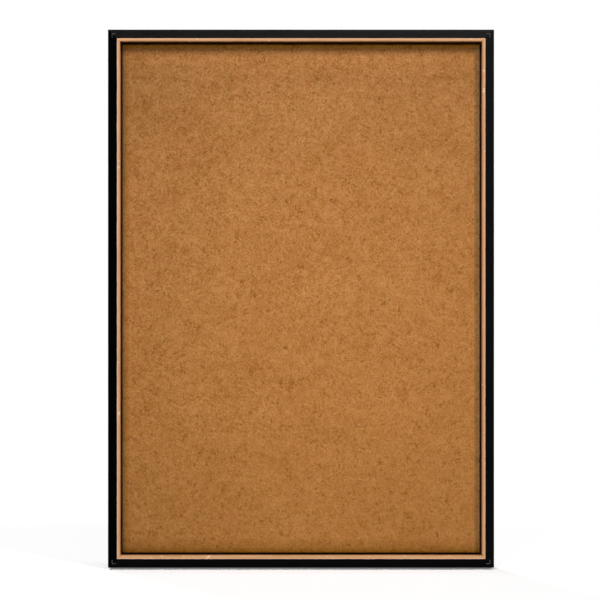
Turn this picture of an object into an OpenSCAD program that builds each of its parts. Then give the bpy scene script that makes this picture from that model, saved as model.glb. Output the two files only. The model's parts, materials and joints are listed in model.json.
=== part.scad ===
// Framed pin board for a wall, portrait format.
// Four mitred rails with an L section make a tray. A bare strip is glued into
// the rebate of each rail, and a cork-faced panel lies in the tray with a
// shadow gap all round. Screws hold it through the rear ledge, and the board
// hangs from two ring hangers.
//
// +X is right and +Z is up. The front faces -Y. The origin is the middle of
// the wall plane, which the rear pads touch.

/* [Board] */
// Overall width
board_w = 452; // [330:1:900]
// Overall height
board_h = 630; // [420:1:1200]

/* [Frame section] */
// Width of the painted face
rim_w = 10.2; // [8:0.1:20]
// Width of the bare strip inside the painted face
fillet_w = 4; // [3:0.1:10]
// Depth of the bare strip behind the front face
fillet_d = 9.6; // [6:0.1:12]
// Thickness of the rear ledge that carries the panel
ledge_t = 4; // [3:0.1:8]
// How far the rear ledge reaches under the panel
ledge_lap = 12; // [10:0.5:25]
// Rounding of the painted edges
rail_edge_r = 0.6; // [0.2:0.1:1.5]
// Rounding of the bare strip along the opening
fillet_edge_r = 0.9; // [0.2:0.1:1.5]
// Rounding of the bare strip along the painted face
fillet_joint_r = 0.3; // [0.1:0.1:0.8]

/* [Panel] */
// Depth from the front face to the cork
recess = 11; // [8:0.5:25]
// Thickness of the cork sheet
cork_t = 3; // [2:0.5:8]
// Thickness of the core board
core_t = 9; // [6:0.5:18]
// Thickness of the backer sheet
backer_t = 1; // [0.6:0.1:3]
// Gap between the panel and the frame, all round
panel_gap = 1.8; // [0.5:0.1:3]

/* [Corner nails] */
// Length of each leg of a corner nail
nail_leg = 4.6; // [3:0.1:6]
// Thickness of the nail's steel strip
nail_t = 0.7; // [0.5:0.1:1]
// Depth of the front nails in the wood
front_nail_d = 8; // [5:0.5:10]
// Depth of the rear nails in the wood
rear_nail_d = 10; // [5:0.5:12]
// Wood left between a front nail and the bare strip
nail_wall = 1; // [0.5:0.1:2]
// Distance between the two rear nails of a corner, along each edge
rear_nail_step = 5; // [3:0.1:6]

/* [Panel screws] */
// Screws along each upright
side_screws = 4; // [2:1:8]
// Screws along the top and along the bottom
end_screws = 3; // [2:1:6]
// Distance of the last screw from each corner
screw_end = 70; // [60:1:100]
// Diameter of the screw's shank
screw_d = 3; // [2.5:0.1:4]
// Diameter of the screw's head
screw_head_d = 6; // [5:0.1:7]
// Height of the screw's head
screw_head_h = 1.9; // [1.5:0.1:2.2]
// Core left uncut in front of each screw's tip
core_left = 2; // [1:0.5:3]
// Ledge left between a screw's head and the opening at the back
head_wall = 1.5; // [1:0.1:3]

/* [Hangers] */
// Distance from the top edge down to the rings' pivots
hanger_drop = 150; // [120:1:180]
// Width of the strap
strap_w = 10; // [8:0.5:12]
// Thickness of the strap
strap_t = 1; // [0.8:0.1:1.2]
// Diameter of the ring's wire
wire_d = 2; // [1.8:0.1:2.4]
// Half the width of the ring, to the middle of its wire
ring_half_w = 8; // [7.6:0.1:9]
// Length of the ring's straight sides
ring_leg = 4; // [3.4:0.1:6]
// Radius of the ring's two bends, to the middle of its wire
ring_bend = 2; // [1.5:0.1:2.2]
// Length of the hanger screws under their heads
hanger_screw_l = 13; // [8:0.5:15]
// Spacing of the two screws in a strap
strap_hole_step = 11; // [9:0.5:16]

/* [Wall pads] */
// Diameter of a pad
pad_d = 10; // [8:0.5:14]
// Rounding of the pad's rim
pad_edge_r = 1.2; // [0.5:0.1:2]
// Distance of a pad's middle from the top or bottom edge
pad_end = 44; // [42:1:50]

/* [Clearances] */
// Radial clearance of the ring in its strap
ring_fit = 0.08; // [0.03:0.01:0.1]
// Clearance between the hanging ring and its strap
ring_rest = 0.3; // [0.3:0.05:0.5]
// Radial clearance of a screw in its hole
screw_fit = 0.1; // [0.05:0.01:0.2]
// Clearance of a nail in its slot
nail_fit = 0.05; // [0.02:0.01:0.1]
// Clearance from the hangers to the wall
wall_fit = 0.6; // [0.3:0.1:2]

/* [Hidden] */

// Draws small round features smoothly
$fn = 48;
// Makes a cutter reach past the face that it cuts
over = 1;

// The sides of the frame, in order round it
TOP = 0;
RIGHT = 1;
BOTTOM = 2;
LEFT = 3;

// Section of the frame, across from its outer edge
body_w = rim_w + fillet_w;
ledge_w = body_w + panel_gap + ledge_lap;
// Section of the frame, back from its front face
core_depth = recess + cork_t;
backer_depth = core_depth + core_t;
ledge_depth = backer_depth + backer_t;
frame_d = ledge_depth + ledge_t;

panel_w = board_w - 2 * (body_w + panel_gap);
panel_h = board_h - 2 * (body_w + panel_gap);

// Corner nails, each kept inside the full depth of the wood
front_nail_in = rim_w - nail_wall - nail_leg + nail_t / 2;
rear_nail_in = (body_w - nail_leg - rear_nail_step) / 2;

// Panel screws
screw_in = ledge_w - head_wall - screw_head_d / 2;
screw_l = ledge_t + backer_t + core_t - core_left;

// Ring and the strap's eye that holds it
wire_r = wire_d / 2;
eye_r = wire_r + ring_fit;
eye_outer_r = eye_r + strap_t;
ring_reach = ring_leg + ring_half_w + wire_r;
pivot_back = strap_t + ring_rest + wire_r;
// Strap, with its first hole clear of the hanging ring
strap_hole_wall = 1.6;
hole_past_ring = 1;
strap_in = body_w - screw_d / 2 - strap_hole_wall;
strap_hole_1 = ring_reach + hole_past_ring + screw_head_d / 2;
strap_hole_2 = strap_hole_1 + strap_hole_step;
strap_l = strap_hole_2 + strap_w / 2;

// Wall pads hold the hangers clear of the wall
pad_t = pivot_back + eye_outer_r + wall_fit;
pad_in = ledge_w / 2;

rear_y = -pad_t;
front_y = rear_y - frame_d;

// Cross slot in a screw's head
slot_w = 0.8;
slot_l = 0.62 * screw_head_d;
slot_d = 0.55 * screw_head_h;
// Radius of the screw head's dome
dome_r = 0.9 * screw_head_d;
screw_tip_l = screw_d;

// ---------------------------------------------------------------- placing

function side_length(side) = side % 2 == TOP ? board_w : board_h;

// Puts children on one side of the frame. They are drawn for the top side,
// with z = 0 at its outer edge and y = 0 at its front face.
module on_side(side) {
  edge_x = side == RIGHT ? board_w / 2 : side == LEFT ? -board_w / 2 : 0;
  edge_z = side == TOP ? board_h / 2 : side == BOTTOM ? -board_h / 2 : 0;
  translate([edge_x, front_y, edge_z])
    rotate([0, 90 * side, 0])
      children();
}

// Puts children at both ends of a side, drawn for its left end
module at_both_ends(length) {
  for (end = [0, 1])
    mirror([end, 0, 0])
      translate([-length / 2, 0, 0])
        children();
}

// Puts children at each panel screw of a side, pointing back
module at_side_screws(side) {
  count = side % 2 == TOP ? end_screws : side_screws;
  first = screw_end - side_length(side) / 2;
  step = -2 * first / (count - 1);
  on_side(side)
    for (i = [0 : count - 1])
      translate([first + i * step, frame_d, -screw_in])
        rotate([-90, 0, 0])
          children();
}

// Puts children at a hanger's pivot, on the rear face. hand is -1 for the
// left one and 1 for the right one.
module at_pivot(hand) {
  translate([hand * (board_w / 2 - strap_in), rear_y, board_h / 2 - hanger_drop])
    children();
}

// Puts children at a strap's two holes, pointing back
module at_strap_holes(hand) {
  at_pivot(hand)
    for (drop = [strap_hole_1, strap_hole_2])
      translate([0, strap_t, -drop])
        rotate([-90, 0, 0])
          children();
}

// ---------------------------------------------------------------- frame

// Square corner less its rounding, with the sharp corner at the origin and
// the material towards +x and +y
module rounding_cut(r) {
  difference() {
    translate([-over, -over]) square(r + over);
    translate([r, r]) circle(r);
  }
}

// Section of a rail: x runs back from the front face and y runs in from the
// outer edge
module rail_section() {
  difference() {
    square([frame_d, ledge_w]);
    translate([-over, rim_w]) square([fillet_d + over, ledge_w]);
    translate([-over, body_w]) square([ledge_depth + over, ledge_w]);
    rounding_cut(rail_edge_r);
    translate([frame_d, 0]) mirror([1, 0]) rounding_cut(rail_edge_r);
    translate([frame_d, ledge_w]) mirror([1, 0]) mirror([0, 1]) rounding_cut(rail_edge_r);
  }
}

// Section of a bare strip, in the same directions
module fillet_section() {
  translate([0, rim_w])
    difference() {
      square([fillet_d, fillet_w]);
      rounding_cut(fillet_joint_r);
      translate([0, fillet_w]) mirror([0, 1]) rounding_cut(fillet_edge_r);
    }
}

// Straight bar with a section from its children, mitred at both ends. It lies
// along X with its outer edge at z = 0 and its front face at y = 0.
module mitred_bar(length) {
  inner = length / 2 - ledge_w;
  intersection() {
    rotate([90, 0, 90])
      linear_extrude(height = length, center = true)
        mirror([0, 1]) children();
    translate([0, frame_d + over, 0])
      rotate([90, 0, 0])
        linear_extrude(height = frame_d + 2 * over)
          polygon([[-length / 2, 0], [length / 2, 0], [inner, -ledge_w], [-inner, -ledge_w]]);
  }
}

// Corner nail: a strip bent square across the mitre. Its bend is at the
// origin, its legs run along +X and -Z, and it goes forward or back from
// y = 0 by depth. grow widens it into the slot that it sits in.
module corner_nail(depth, grow = 0) {
  leg = nail_leg + 2 * grow;
  wall = nail_t + 2 * grow;
  translate([-nail_t / 2 - grow, 0, nail_t / 2 + grow]) {
    translate([0, 0, -wall]) cube([leg, depth, wall]);
    translate([0, 0, -leg]) cube([wall, depth, leg]);
  }
}

module front_nail_at_end(grow = 0, past = 0) {
  translate([front_nail_in, -past, -front_nail_in])
    corner_nail(front_nail_d + past + grow, grow);
}

module rear_nails_at_end(grow = 0, past = 0) {
  for (inward = [rear_nail_in, rear_nail_in + rear_nail_step])
    translate([inward, frame_d - rear_nail_d - grow, -inward])
      corner_nail(rear_nail_d + grow + past, grow);
}

// One side of the frame, with its nail slots and screw holes
module rail(side) {
  length = side_length(side);
  color("#17140f")
    difference() {
      on_side(side) {
        difference() {
          mitred_bar(length) rail_section();
          at_both_ends(length) {
            front_nail_at_end(nail_fit, over);
            rear_nails_at_end(nail_fit, over);
          }
        }
      }
      at_side_screws(side) screw_hole(screw_l);
      if (side == LEFT) at_strap_holes(-1) screw_hole(hanger_screw_l);
      if (side == RIGHT) at_strap_holes(1) screw_hole(hanger_screw_l);
    }
}

module fillet(side) {
  color("#d39a6b")
    on_side(side) mitred_bar(side_length(side)) fillet_section();
}

module front_corner_nails() {
  color("#8d8b86")
    for (side = [TOP, BOTTOM])
      on_side(side) at_both_ends(board_w) front_nail_at_end();
}

module rear_corner_nails() {
  color("#8d8b86")
    for (side = [TOP, BOTTOM])
      on_side(side) at_both_ends(board_w) rear_nails_at_end();
}

// ---------------------------------------------------------------- panel

// One layer of the panel, from a depth behind the front face
module panel_layer(depth, thickness) {
  translate([-panel_w / 2, front_y + depth, -panel_h / 2])
    cube([panel_w, thickness, panel_h]);
}

module panel_screw_holes() {
  for (side = [TOP, RIGHT, BOTTOM, LEFT])
    at_side_screws(side) screw_hole(screw_l);
}

module cork_sheet() {
  color("#ab733e") panel_layer(recess, cork_t);
}

module core_board() {
  color("#8a6a45")
    difference() {
      panel_layer(core_depth, core_t);
      panel_screw_holes();
    }
}

module backer_sheet() {
  color("#6e4a2b")
    difference() {
      panel_layer(backer_depth, backer_t);
      panel_screw_holes();
    }
}

// ---------------------------------------------------------------- screws

// Hole for a screw that enters at z = 0 and goes down
module screw_hole(length) {
  translate([0, 0, -length - screw_fit])
    cylinder(d = screw_d + 2 * screw_fit, h = length + screw_fit + over);
}

// Pan head screw, with its head above z = 0 and its shank below. turn sets
// how its cross slot stands.
module pan_screw(length, turn = 0) {
  shank_l = length - screw_tip_l;
  difference() {
    intersection() {
      cylinder(d = screw_head_d, h = screw_head_h);
      translate([0, 0, screw_head_h - dome_r]) sphere(dome_r);
    }
    rotate([0, 0, turn])
      for (arm = [0, 90])
        rotate([0, 0, arm])
          translate([-slot_l / 2, -slot_w / 2, screw_head_h - slot_d])
            cube([slot_l, slot_w, slot_d + over]);
  }
  translate([0, 0, -shank_l]) cylinder(d = screw_d, h = shank_l);
  translate([0, 0, -length])
    cylinder(d1 = screw_d / 3, d2 = screw_d, h = screw_tip_l);
}

module panel_screws() {
  turns = [17, 63, 38, 80];
  color("#3a3937")
    for (side = [TOP, RIGHT, BOTTOM, LEFT])
      at_side_screws(side) pan_screw(screw_l, turns[side]);
}

module hanger_screws() {
  color("#b9b7b0")
    for (hand = [-1, 1])
      at_strap_holes(hand) pan_screw(hanger_screw_l, 30 + 25 * hand);
}

// ---------------------------------------------------------------- hangers

// Strap: a plate on the rear face, rolled into an eye at its top
module hanger_strap(hand) {
  color("#b9b7b0")
    difference() {
      at_pivot(hand) {
        rotate([-90, 0, 0]) linear_extrude(height = strap_t) strap_outline();
        translate([0, pivot_back, 0])
          rotate([0, 90, 0])
            cylinder(r = eye_outer_r, h = strap_w, center = true);
      }
      at_pivot(hand)
        translate([0, pivot_back, 0])
          rotate([0, 90, 0])
            cylinder(r = eye_r, h = strap_w + 2 * over, center = true);
      at_strap_holes(hand)
        translate([0, 0, -strap_t - over])
          cylinder(d = screw_d + 2 * screw_fit, h = strap_t + 2 * over);
    }
}

// Outline of the strap's plate, with its round end at the bottom. y runs down
// from the pivot.
module strap_outline() {
  translate([-strap_w / 2, 0]) square([strap_w, strap_hole_2]);
  translate([0, strap_hole_2]) circle(d = strap_w);
}

// Ring: a round bar through the strap's eye, two sides and a half circle,
// hanging down from the pivot
module hanger_ring(hand) {
  bar_half = ring_half_w - ring_bend;
  side_l = ring_leg - ring_bend;
  color("#c4c2bc")
    at_pivot(hand)
      translate([0, pivot_back, 0]) {
        rotate([0, 90, 0]) cylinder(r = wire_r, h = 2 * bar_half, center = true);
        for (end = [0, 1])
          mirror([end, 0, 0]) {
            translate([bar_half, 0, -ring_bend])
              rotate([90, 0, 0]) wire_arc(ring_bend, 90);
            translate([ring_half_w, 0, -ring_leg])
              cylinder(r = wire_r, h = side_l);
          }
        translate([0, 0, -ring_leg])
          rotate([-90, 0, 0]) wire_arc(ring_half_w, 180);
      }
}

// Arc of wire in the XY plane, from +X towards +Y
module wire_arc(radius, angle) {
  rotate_extrude(angle = angle) translate([radius, 0]) circle(wire_r);
}

// ---------------------------------------------------------------- pads

module wall_pad() {
  pad_r = pad_d / 2;
  rotate_extrude()
    difference() {
      square([pad_r, pad_t]);
      translate([pad_r, pad_t]) mirror([1, 0]) mirror([0, 1]) rounding_cut(pad_edge_r);
    }
}

module wall_pads() {
  color("#262522")
    for (x = [-1, 1], z = [-1, 1])
      translate([x * (board_w / 2 - pad_in), rear_y, z * (board_h / 2 - pad_end)])
        rotate([-90, 0, 0])
          wall_pad();
}

rail(TOP);  // top_rail
rail(BOTTOM);  // bottom_rail
rail(LEFT);  // left_stile
rail(RIGHT);  // right_stile
fillet(TOP);  // top_fillet
fillet(BOTTOM);  // bottom_fillet
fillet(LEFT);  // left_fillet
fillet(RIGHT);  // right_fillet
cork_sheet();
core_board();
backer_sheet();
front_corner_nails();
rear_corner_nails();
panel_screws();
hanger_strap(-1);  // left_hanger_strap
hanger_strap(1);  // right_hanger_strap
hanger_ring(-1);  // left_hanger_ring
hanger_ring(1);  // right_hanger_ring
hanger_screws();
wall_pads();
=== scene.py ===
"""Looks of a framed pin board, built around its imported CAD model.

Everything is in metres, in the model's own frame: +X is right, +Z is up, the
front faces -Y, and y = 0 is the wall plane. Sizes and places come from the
boxes of the CAD nodes.
"""

import json
import math

import bmesh
import bpy
import numpy as np
from mathutils import Matrix, Vector, noise

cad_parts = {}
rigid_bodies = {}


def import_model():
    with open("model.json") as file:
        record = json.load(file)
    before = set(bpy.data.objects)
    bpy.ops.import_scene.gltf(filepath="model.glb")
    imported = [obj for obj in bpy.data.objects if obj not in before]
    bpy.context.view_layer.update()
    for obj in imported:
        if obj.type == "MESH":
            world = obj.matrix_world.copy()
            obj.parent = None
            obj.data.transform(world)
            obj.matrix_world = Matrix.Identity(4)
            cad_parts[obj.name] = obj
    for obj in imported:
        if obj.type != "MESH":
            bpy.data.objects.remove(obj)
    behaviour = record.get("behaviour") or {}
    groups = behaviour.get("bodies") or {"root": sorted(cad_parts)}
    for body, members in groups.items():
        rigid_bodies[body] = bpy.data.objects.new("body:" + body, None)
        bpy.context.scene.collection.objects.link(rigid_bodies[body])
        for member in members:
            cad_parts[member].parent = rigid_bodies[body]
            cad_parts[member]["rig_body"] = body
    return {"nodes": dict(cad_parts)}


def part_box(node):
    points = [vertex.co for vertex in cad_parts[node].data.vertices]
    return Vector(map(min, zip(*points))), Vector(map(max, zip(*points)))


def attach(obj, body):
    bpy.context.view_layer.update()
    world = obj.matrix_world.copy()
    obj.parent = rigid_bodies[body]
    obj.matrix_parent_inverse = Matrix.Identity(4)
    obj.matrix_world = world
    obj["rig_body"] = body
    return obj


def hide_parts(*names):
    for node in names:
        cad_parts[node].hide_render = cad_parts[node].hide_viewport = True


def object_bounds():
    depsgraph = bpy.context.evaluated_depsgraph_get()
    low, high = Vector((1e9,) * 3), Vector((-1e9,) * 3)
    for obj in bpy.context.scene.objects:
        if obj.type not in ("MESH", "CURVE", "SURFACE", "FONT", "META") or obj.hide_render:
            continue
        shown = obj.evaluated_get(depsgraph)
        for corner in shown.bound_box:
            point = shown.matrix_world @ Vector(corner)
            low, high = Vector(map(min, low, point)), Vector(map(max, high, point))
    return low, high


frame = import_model()
CAD_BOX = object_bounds()

MM = 0.001
QUARTER_TURN = math.pi / 2
FULL_TURN = 2 * math.pi

# -------------------- sizes

LOW, HIGH = CAD_BOX
BOARD_W = HIGH.x - LOW.x
BOARD_H = HIGH.z - LOW.z
MIDDLE = (LOW + HIGH) / 2

RAIL_LOW, RAIL_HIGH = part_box("top_rail")
STRIP_LOW, STRIP_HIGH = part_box("top_fillet")
CORK_LOW, CORK_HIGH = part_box("cork_sheet")
FRONT_Y = RAIL_LOW.y
REAR_Y = RAIL_HIGH.y
FRAME_D = REAR_Y - FRONT_Y
RIM_W = HIGH.z - STRIP_HIGH.z
BODY_W = HIGH.z - STRIP_LOW.z
LEDGE_W = HIGH.z - RAIL_LOW.z
STRIP_D = STRIP_HIGH.y - FRONT_Y
LEDGE_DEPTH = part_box("backer_sheet")[1].y - FRONT_Y

# The four sides of the frame, each with the nodes of its rail and its bare strip
TOP, RIGHT, BOTTOM, LEFT = range(4)
SIDES = {
    TOP: ("top_rail", "top_fillet"),
    RIGHT: ("right_stile", "right_fillet"),
    BOTTOM: ("bottom_rail", "bottom_fillet"),
    LEFT: ("left_stile", "left_fillet"),
}

# Roundings of the frame and the bare strips
RAIL_EDGE_R = 0.6 * MM
LEDGE_EDGE_R = 0.3 * MM
STRIP_EDGE_R = 0.9 * MM
STRIP_JOINT_R = 0.3 * MM
CORNER_R = 0.45 * MM

# -------------------- studio

CAMERA_DISTANCE = 2.3
VIEW_WIDTH = 0.7021
CAMERA_ASIDE = -1.2 * MM
CAMERA_UP = -1.55 * MM

FLOOR_SIZE = 60.0
FLOOR_GAP = 2.4 * MM
# How light the floor is to the eye, and how light in what it throws back at the board
FLOOR_SEEN = 1.0
FLOOR_BOUNCE = 0.06
# Share of plain white, which keeps no shadow, under the board, round it, and far away
WHITE_UNDER = 0.2
WHITE_ROUND = 0.8
WHITE_START = 6 * MM
WHITE_FULL = 60 * MM
FAR_START = 0.8
FAR_FULL = 4.0

LAMP_DISTANCE = 8.0

# The room round the board: white walls, a dimmer ceiling and a dark end behind the camera,
# and how steeply a direction points up, or to the front, where each starts and is full
CEILING_LEVEL = 0.35
CEILING_START, CEILING_FULL = 0.35, 0.65
DARK_END_LEVEL = 0.06
DARK_END_START, DARK_END_FULL = -0.3, -0.85
AMBIENT_LEVEL = 0.22


def add_to_scene(thing):
    bpy.context.scene.collection.objects.link(thing)


def add_camera():
    data = bpy.data.cameras.new("camera")
    data.lens = data.sensor_width * CAMERA_DISTANCE / VIEW_WIDTH
    camera = bpy.data.objects.new("camera", data)
    camera.location = (CAMERA_ASIDE, FRONT_Y - CAMERA_DISTANCE, CAMERA_UP)
    camera.rotation_euler = (math.pi / 2, 0, 0)
    add_to_scene(camera)
    bpy.context.scene.camera = camera


def add_softbox(name, direction, width, height, level, faces=(0, -1, 0)):
    """An area lamp that adds level times a surface's own colour, on a surface that faces along faces.
    Width and height are for a lamp one metre away."""
    direction = Vector(direction).normalized()
    slant = direction.dot(Vector(faces))
    data = bpy.data.lights.new(name, "AREA")
    data.shape = "RECTANGLE"
    data.size = width * LAMP_DISTANCE
    data.size_y = height * LAMP_DISTANCE
    data.energy = level * math.pi**2 * LAMP_DISTANCE**2 / slant
    lamp = bpy.data.objects.new(name, data)
    lamp.location = MIDDLE + direction * LAMP_DISTANCE
    lamp.rotation_euler = direction.to_track_quat("Z", "Y").to_euler()
    lamp.visible_camera = False
    add_to_scene(lamp)


class NodeKit:
    """Short calls that add nodes to a material or a world and return their main output."""

    def __init__(self, owner):
        owner.use_nodes = True
        self.owner, self.tree = owner, owner.node_tree

    def node(self, kind, inputs=None, **settings):
        made = self.tree.nodes.new(kind)
        for name, value in settings.items():
            setattr(made, name, value)
        for key, value in (inputs or {}).items():
            self.feed(made.inputs[key], value)
        return made

    def feed(self, socket, value):
        if isinstance(value, bpy.types.NodeSocket):
            self.tree.links.new(value, socket)
        elif socket.type == "RGBA":
            socket.default_value = (*value, 1)
        else:
            socket.default_value = value

    def maths(self, operation, first, second=0.0):
        return self.node("ShaderNodeMath", {0: first, 1: second}, operation=operation).outputs[0]

    def plus(self, first, second):
        return self.maths("ADD", first, second)

    def minus(self, first, second):
        return self.maths("SUBTRACT", first, second)

    def times(self, first, second):
        return self.maths("MULTIPLY", first, second)

    def larger(self, first, second):
        return self.maths("MAXIMUM", first, second)

    def remap(self, value, start, end, first=0.0, last=1.0, smooth=False):
        """first at start and last at end, and between them in between."""
        inputs = {"Value": value, "From Min": start, "From Max": end, "To Min": first, "To Max": last}
        kind = "SMOOTHSTEP" if smooth else "LINEAR"
        return self.node("ShaderNodeMapRange", inputs, interpolation_type=kind).outputs["Result"]

    def parts(self, vector):
        made = self.node("ShaderNodeSeparateXYZ", {0: vector})
        return made.outputs["X"], made.outputs["Y"], made.outputs["Z"]

    def coordinates(self, kind="Object"):
        return self.node("ShaderNodeTexCoord").outputs[kind]

    def drawn_out(self, stretch, turn=0.0):
        """The piece's own coordinates, drawn out this much along each axis and turned about Y."""
        inputs = {"Vector": self.coordinates(), "Rotation": (0, turn, 0), "Scale": stretch}
        return self.node("ShaderNodeMapping", inputs, vector_type="TEXTURE").outputs[0]

    def noise(self, size, detail=2.0, rough=0.5, at=None, swirl=0.0):
        """Cloudy noise from 0 to 1 whose largest blobs have this size in metres."""
        inputs = {"Scale": 1 / size, "Detail": detail, "Roughness": rough, "Distortion": swirl}
        inputs["Vector"] = at or self.coordinates()
        return self.node("ShaderNodeTexNoise", inputs).outputs["Fac"]

    def blend(self, share, first, second, kind="MIX"):
        """first where share is 0 and second where it is 1."""
        made = self.node("ShaderNodeMix", data_type="RGBA", blend_type=kind)
        for index, value in ((0, share), (6, first), (7, second)):
            self.feed(made.inputs[index], value)
        return made.outputs[2]

    def tinted(self, colour, tone, pattern, start, end, most=1.0):
        """The colour, turned to this tone as the pattern goes from start to end, by most at the end."""
        return self.blend(self.remap(pattern, start, end, 0, most), colour, tone)

    def dimmed(self, colour, factor):
        made = self.node("ShaderNodeVectorMath", {0: colour}, operation="SCALE")
        self.feed(made.inputs["Scale"], factor)
        return made.outputs[0]

    def attribute(self, name):
        return self.node("ShaderNodeAttribute", attribute_name=name).outputs["Fac"]

    def bump(self, height, depth, under=None):
        """Normals of a relief whose height runs from 0 to 1 over this depth in metres."""
        inputs = {"Height": height, "Distance": depth, "Strength": 1.0}
        if under:
            inputs["Normal"] = under
        return self.node("ShaderNodeBump", inputs).outputs[0]

    def seen_directly(self):
        """1 for rays that see a surface or its mirror image, and 0 for rays that only gather its light."""
        rays = self.node("ShaderNodeLightPath").outputs
        mirrored = self.larger(rays["Is Glossy Ray"], rays["Is Transmission Ray"])
        return self.larger(rays["Is Camera Ray"], mirrored)


def new_material(name):
    return NodeKit(bpy.data.materials.new(name))


def floor_material():
    """White paper that throws little light back at the board, and is plain white further away."""
    kit = new_material("floor_paper")
    seen = kit.seen_directly()
    x, y, _ = kit.parts(kit.coordinates())
    aside = kit.minus(kit.maths("ABSOLUTE", x), BOARD_W / 2)
    behind = kit.minus(y, HIGH.y)
    in_front = kit.minus(FRONT_Y, y)
    away = kit.larger(aside, kit.larger(behind, in_front))
    near = kit.remap(away, WHITE_START, WHITE_FULL, WHITE_UNDER, WHITE_ROUND, smooth=True)
    distance = kit.node("ShaderNodeVectorMath", {0: kit.coordinates()}, operation="LENGTH").outputs["Value"]
    share = kit.larger(near, kit.remap(distance, FAR_START, FAR_FULL))
    paper = kit.node("ShaderNodeBsdfDiffuse", {"Color": kit.remap(seen, 0, 1, FLOOR_BOUNCE, FLOOR_SEEN)})
    white = kit.node("ShaderNodeEmission", {"Strength": seen})
    both = kit.node("ShaderNodeMixShader", {0: share, 1: paper.outputs[0], 2: white.outputs[0]})
    kit.feed(kit.tree.nodes["Material Output"].inputs["Surface"], both.outputs[0])
    kit.tree.nodes.remove(kit.tree.nodes["Principled BSDF"])
    return kit.owner


def add_floor():
    half = FLOOR_SIZE / 2
    z = LOW.z - FLOOR_GAP
    corners = [(-half, -half, z), (half, -half, z), (half, half, z), (-half, half, z)]
    floor = new_object("floor", corners, [(0, 1, 2, 3)])
    floor.data.materials.append(floor_material())


def add_world():
    bpy.context.scene.view_settings.view_transform = "Standard"
    world = bpy.data.worlds.new("studio")
    bpy.context.scene.world = world
    kit = NodeKit(world)
    _, y, z = kit.parts(kit.coordinates("Generated"))
    ceiling = kit.remap(z, CEILING_START, CEILING_FULL, 1, CEILING_LEVEL, smooth=True)
    dark_end = kit.remap(y, DARK_END_START, DARK_END_FULL, 1, DARK_END_LEVEL, smooth=True)
    ambient = kit.remap(kit.seen_directly(), 0, 1, AMBIENT_LEVEL, 1)
    level = kit.times(kit.times(ceiling, dark_end), ambient)
    background = kit.tree.nodes["Background"]
    kit.feed(background.inputs["Color"], (1, 1, 1))
    # The camera sees plain white on every side, and only mirror images show the dim parts
    in_view = kit.node("ShaderNodeLightPath").outputs["Is Camera Ray"]
    kit.feed(background.inputs["Strength"], kit.larger(level, in_view))


# -------------------- finishes

ALONG_X = "x"
ALONG_Z = "z"


def along_grain(axis, stretch):
    return (stretch, 1, 1) if axis == ALONG_X else (1, 1, stretch)


def finish(kit, colour, roughness, normal, specular=0.5, metallic=0.0):
    shader = kit.tree.nodes["Principled BSDF"]
    kit.feed(shader.inputs["Base Color"], colour)
    kit.feed(shader.inputs["Roughness"], roughness)
    shader.inputs["Specular IOR Level"].default_value = specular
    shader.inputs["Metallic"].default_value = metallic
    kit.feed(shader.inputs["Normal"], normal)
    return kit.owner


def film_patterns(kit):
    """Slow clouds and fine dust in a film of paint."""
    return kit.noise(35 * MM, 3, 0.55), kit.noise(1.6 * MM, 3, 0.6)


def rubbed(kit, colour, dust):
    """A paint's colour, worn down to dark wood in spots along the edges."""
    worn = kit.times(kit.attribute("arris"), kit.remap(dust, 0.56, 0.7, 0, 0.5))
    return kit.blend(worn, colour, (0.035, 0.026, 0.019))


def front_paint(name, base, sheen):
    """Satin black with a slightly uneven film, rubbed at its edges."""
    kit = new_material("front_paint_" + name)
    clouds, dust = film_patterns(kit)
    film = kit.plus(kit.remap(clouds, 0.3, 0.7, 0, 0.6), kit.remap(dust, 0.35, 0.65, 0, 0.4))
    thick = (0.45 * base, 0.45 * base, 0.46 * base)
    thin = (1.6 * base, 1.58 * base, 1.55 * base)
    colour = rubbed(kit, kit.blend(film, thick, thin), dust)
    rough = kit.plus(kit.remap(clouds, 0.3, 0.7, 0.27, 0.34), kit.remap(dust, 0.3, 0.7, -0.04, 0.06))
    return finish(kit, colour, rough, kit.bump(dust, 0.02 * MM), specular=sheen)


def side_paint(axis):
    """Brushed black on the outer sides, which thins to a dark stain over the grain at the back."""
    kit = new_material("side_paint_" + axis)
    grain = kit.noise(0.7 * MM, 4, 0.6, kit.drawn_out(along_grain(axis, 30)))
    brushed = kit.noise(1.1 * MM, 3, 0.6, kit.drawn_out(along_grain(axis, 60)))
    clouds, dust = film_patterns(kit)
    _, depth, _ = kit.parts(kit.coordinates())
    rear = kit.remap(depth, FRONT_Y + 0.55 * FRAME_D, REAR_Y - 0.4 * MM, 0, 1, smooth=True)
    painted = kit.tinted((0.0035, 0.0035, 0.0036), (0.0120, 0.0115, 0.0110), brushed, 0.35, 0.65)
    stained = kit.tinted((0.004, 0.0035, 0.003), (0.020, 0.015, 0.011), grain, 0.4, 0.62)
    colour = rubbed(kit, kit.blend(rear, painted, stained), dust)
    rough = kit.plus(kit.remap(clouds, 0.3, 0.7, 0.27, 0.34), kit.remap(brushed, 0.35, 0.65, 0.05, 0.26))
    normal = kit.bump(grain, 0.03 * MM, kit.bump(dust, 0.02 * MM))
    return finish(kit, colour, rough, normal, specular=0.15)


def rebate_wood(name, axis, tone):
    """Bare wood inside the rebate, which shows as a dark brown line round the panel; its tone differs per
    side as painted light and shade.
    """
    kit = new_material("rebate_wood_" + name)
    grain = kit.noise(0.9 * MM, 3, 0.6, kit.drawn_out(along_grain(axis, 30)))
    colour = kit.dimmed(tone, kit.remap(grain, 0.35, 0.65, 0.75, 1))
    return finish(kit, colour, 0.7, kit.bump(grain, 0.04 * MM), specular=0.2)


# Depth at which a strip's wall has its full shade
WALL_SHADED = 2.5 * MM


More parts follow.
